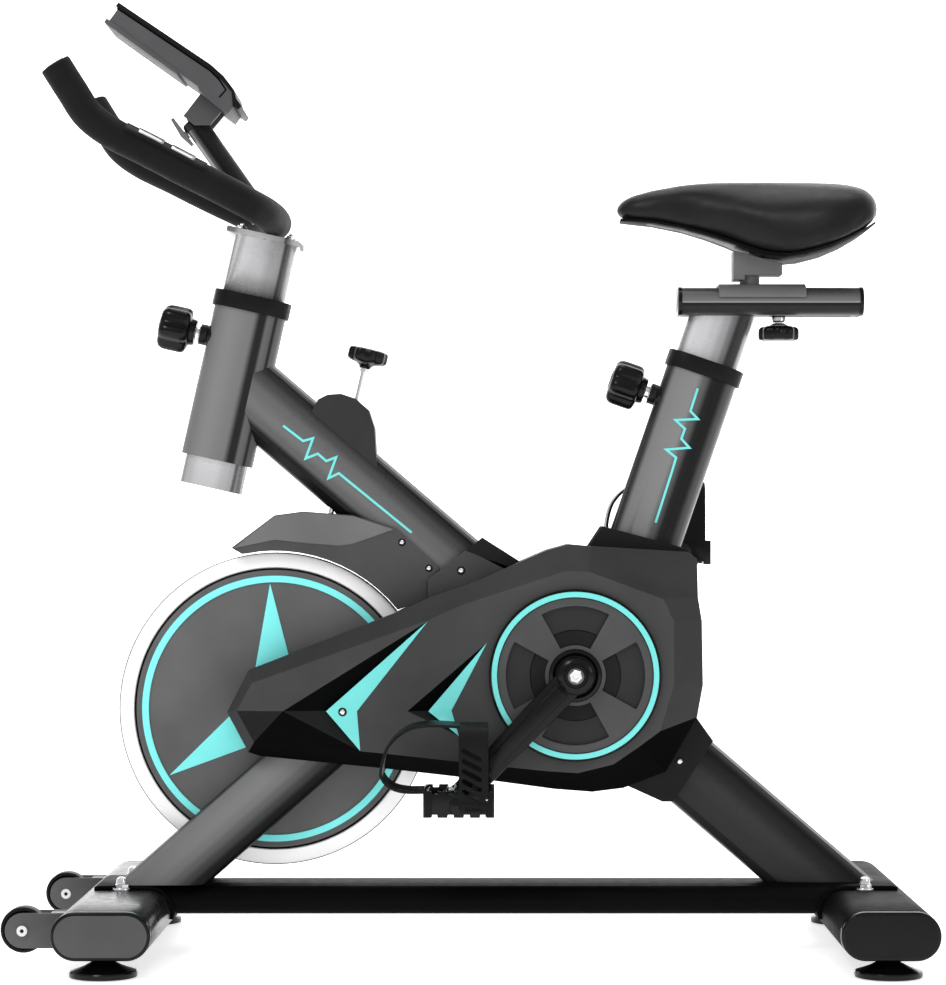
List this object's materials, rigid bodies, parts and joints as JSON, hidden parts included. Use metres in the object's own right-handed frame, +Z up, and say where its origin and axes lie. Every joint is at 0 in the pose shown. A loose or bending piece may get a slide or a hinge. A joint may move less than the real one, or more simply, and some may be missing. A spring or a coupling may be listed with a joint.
{
  "type": "indoor spin bike",
  "caption": "Indoor spin bike: steel frame on two crosswise stabilisers, covered belt drive to a heavy flywheel, sliding saddle and handlebar posts, screw-down brake.",
  "frame": {"origin": "floor level, below the middle of the bike's overall box", "axes": "+Z up, -X towards the front (flywheel and handlebar), +X towards the saddle, -Y towards the rider's left"},
  "size_m": [0.9284, 0.487, 0.984],
  "materials": {
    "frame_paint": "satin",
    "dark_metal": "satin",
    "chrome": "polished",
    "black_plastic": "satin",
    "cover_plastic": "satin",
    "disc_grey": "satin",
    "rubber": "matte",
    "grip_foam": "matte",
    "saddle_leather": "satin",
    "grey_plastic": "satin",
    "flywheel_steel": "polished",
    "teal_accent": "gloss"
  },
  "bodies": {
    "frame": {"main_tube": "frame_paint", "head_tube": "frame_paint", "seat_tube": "frame_paint", "left_fork_leg": "frame_paint", "right_fork_leg": "frame_paint", "base_beam": "frame_paint", "bottom_bracket_shell": "frame_paint", "front_stabilizer": "frame_paint", "rear_stabilizer": "frame_paint", "front_left_cap": "black_plastic", "front_right_cap": "black_plastic", "rear_left_cap": "black_plastic", "rear_right_cap": "black_plastic", "left_wheel_bracket": "frame_paint", "right_wheel_bracket": "frame_paint", "drive_belt": "rubber", "left_cover": "cover_plastic", "right_cover": "cover_plastic", "flywheel_guard": "cover_plastic", "brake_cover": "black_plastic", "head_tube_collar": "black_plastic", "seat_tube_collar": "black_plastic"},
    "flywheel": {"flywheel": "flywheel_steel", "flywheel_left_face": "disc_grey", "flywheel_right_face": "disc_grey", "flywheel_axle": "dark_metal", "flywheel_pulley": "dark_metal"},
    "crank": {"crank_spindle": "dark_metal", "drive_pulley": "black_plastic", "crank_disc": "disc_grey", "left_crank_arm": "frame_paint", "right_crank_arm": "frame_paint"},
    "left_pedal": {"left_pedal": "black_plastic", "left_toe_cage": "black_plastic"},
    "right_pedal": {"right_pedal": "black_plastic", "right_toe_cage": "black_plastic"},
    "seat_post": {"seat_post": "chrome", "seat_rail": "dark_metal"},
    "seat_slider": {"seat_slider": "grey_plastic", "saddle_pan": "grey_plastic", "saddle_cushion": "saddle_leather"},
    "slider_knob": {"slider_knob": "black_plastic"},
    "seat_pin": {"seat_pin": "chrome"},
    "seat_knob": {"seat_knob": "black_plastic"},
    "handlebar_post": {"handlebar_post": "chrome", "handlebar": "grip_foam", "console_stem": "frame_paint"},
    "handlebar_pin": {"handlebar_pin": "chrome"},
    "handlebar_knob": {"handlebar_knob": "black_plastic"},
    "device_tray": {"device_tray": "grey_plastic"},
    "console_knob": {"console_knob": "grey_plastic"},
    "tension_rod": {"tension_rod": "chrome"},
    "tension_knob": {"tension_knob": "black_plastic"},
    "brake_pad": {"brake_pad": "rubber"},
    "front_left_foot": {"front_left_foot": "rubber"},
    "front_right_foot": {"front_right_foot": "rubber"},
    "rear_left_foot": {"rear_left_foot": "rubber"},
    "rear_right_foot": {"rear_right_foot": "rubber"},
    "left_transport_wheel": {"left_transport_wheel": "black_plastic"},
    "right_transport_wheel": {"right_transport_wheel": "black_plastic"}
  },
  "joints": [
    {"name": "flywheel_spin", "type": "hinge", "parent": "frame", "child": "flywheel", "pos_m": [-0.201, 0, 0.252], "axis": [0, 1, 0], "continuous": true},
    {"name": "crank_spin", "type": "hinge", "parent": "frame", "child": "crank", "pos_m": [0.111, 0, 0.29], "axis": [0, 1, 0], "continuous": true},
    {"name": "left_pedal_spin", "type": "hinge", "parent": "crank", "child": "left_pedal", "pos_m": [-0.00666, 0, 0.1673], "axis": [0, 1, 0], "continuous": true},
    {"name": "right_pedal_spin", "type": "hinge", "parent": "crank", "child": "right_pedal", "pos_m": [0.22866, 0, 0.4127], "axis": [0, 1, 0], "continuous": true},
    {"name": "seat_post_slide", "type": "slide", "parent": "frame", "child": "seat_post", "axis": [0.3256, 0, 0.9455], "range_m": [-0.02, 0.15]},
    {"name": "seat_slide", "type": "slide", "parent": "seat_post", "child": "seat_slider", "axis": [1, 0, 0], "range_m": [0, 0.055]},
    {"name": "slider_knob_turn", "type": "hinge", "parent": "seat_slider", "child": "slider_knob", "pos_m": [0.3265, 0, 0.637], "axis": [0, 0, 1], "range_deg": [0, 720]},
    {"name": "seat_pin_pull", "type": "slide", "parent": "frame", "child": "seat_pin", "axis": [-0.9455, 0, 0.3256], "range_m": [0, 0.01], "stiffness_N_per_m": 600},
    {"name": "seat_knob_turn", "type": "hinge", "parent": "seat_pin", "child": "seat_knob", "pos_m": [0.23435, 0, 0.56752], "axis": [-0.9455, 0, 0.3256], "range_deg": [0, 720]},
    {"name": "handlebar_post_slide", "type": "slide", "parent": "frame", "child": "handlebar_post", "axis": [0.2181, 0, 0.9759], "range_m": [-0.04, 0.11]},
    {"name": "handlebar_pin_pull", "type": "slide", "parent": "frame", "child": "handlebar_pin", "axis": [-0.9759, 0, 0.2181], "range_m": [0, 0.01], "stiffness_N_per_m": 600},
    {"name": "handlebar_knob_turn", "type": "hinge", "parent": "handlebar_pin", "child": "handlebar_knob", "pos_m": [-0.23558, 0, 0.63437], "axis": [-0.9759, 0, 0.2181], "range_deg": [0, 720]},
    {"name": "tray_tilt", "type": "hinge", "parent": "handlebar_post", "child": "device_tray", "pos_m": [-0.281, 0, 0.878], "axis": [0, 1, 0], "range_deg": [-20, 25]},
    {"name": "console_knob_turn", "type": "hinge", "parent": "handlebar_post", "child": "console_knob", "pos_m": [-0.28325, 0, 0.8614], "axis": [-0.8181, 0, -0.575], "range_deg": [0, 360]},
    {"name": "brake_press", "type": "slide", "parent": "frame", "child": "tension_rod", "axis": [-0.2267, 0, -0.974], "range_m": [0, 0.004], "stiffness_N_per_m": 1500},
    {"name": "tension_turn", "type": "hinge", "parent": "tension_rod", "child": "tension_knob", "pos_m": [-0.1034, 0, 0.6285], "axis": [-0.2267, 0, -0.974], "range_deg": [0, 1080]},
    {"name": "pad_feed", "type": "slide", "parent": "tension_rod", "child": "brake_pad", "axis": [-0.2267, 0, -0.974], "range_m": [0, 0.00375]},
    {"name": "front_left_foot_adjust", "type": "slide", "parent": "frame", "child": "front_left_foot", "axis": [0, 0, -1], "range_m": [0, 0.01]},
    {"name": "front_right_foot_adjust", "type": "slide", "parent": "frame", "child": "front_right_foot", "axis": [0, 0, -1], "range_m": [0, 0.01]},
    {"name": "rear_left_foot_adjust", "type": "slide", "parent": "frame", "child": "rear_left_foot", "axis": [0, 0, -1], "range_m": [0, 0.01]},
    {"name": "rear_right_foot_adjust", "type": "slide", "parent": "frame", "child": "rear_right_foot", "axis": [0, 0, -1], "range_m": [0, 0.01]},
    {"name": "left_wheel_spin", "type": "hinge", "parent": "frame", "child": "left_transport_wheel", "pos_m": [-0.4412, -0.155, 0.04], "axis": [0, 1, 0], "continuous": true},
    {"name": "right_wheel_spin", "type": "hinge", "parent": "frame", "child": "right_transport_wheel", "pos_m": [-0.4412, 0.155, 0.04], "axis": [0, 1, 0], "continuous": true}
  ],
  "couplings": [
    {"joint": "crank_spin", "follows": "flywheel_spin", "ratio": 0.25},
    {"joint": "pad_feed", "follows": "tension_turn", "m_per_rad": 0.00019894}
  ]
}
